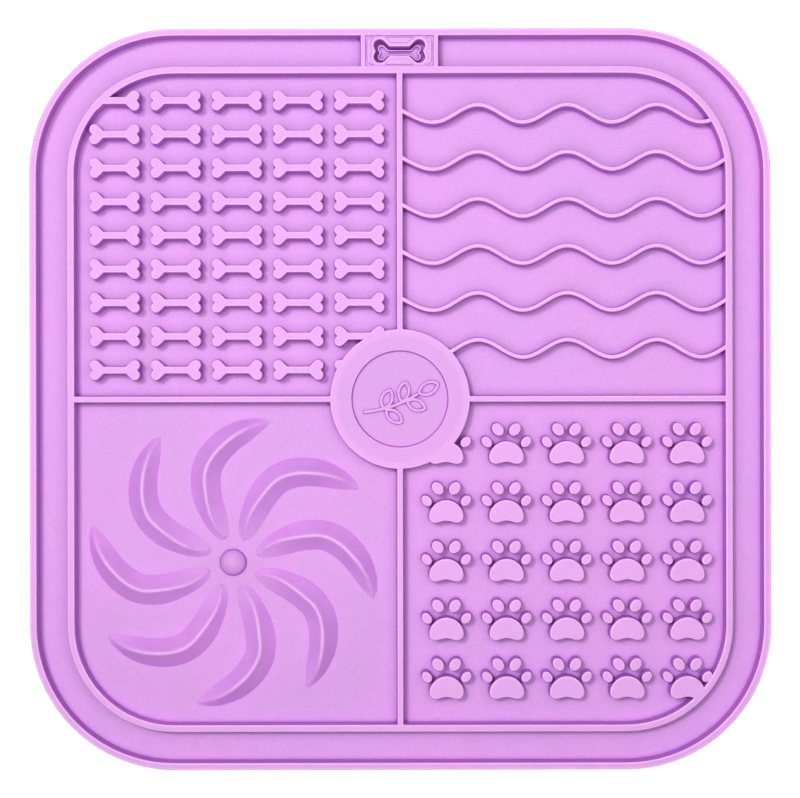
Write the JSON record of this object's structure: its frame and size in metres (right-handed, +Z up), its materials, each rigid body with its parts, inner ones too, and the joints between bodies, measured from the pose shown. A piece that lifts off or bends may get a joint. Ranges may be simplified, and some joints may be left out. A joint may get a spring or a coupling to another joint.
{
  "type": "slow feeder mat",
  "caption": "Square silicone slow feeder mat with a rim, a moat, patterned compartments and a round medallion where the dividers cross.",
  "frame": {"origin": "centre of the flat underside", "axes": "+Z up out of the patterned face, +Y towards the small bone-shaped cell in the moat, +X to the right of it"},
  "size_m": [0.2, 0.2, 0.007],
  "materials": {
    "silicone": "matte moulded silicone, orchid"
  },
  "bodies": {
    "root": {"mat": "silicone"}
  },
  "joints": []
}
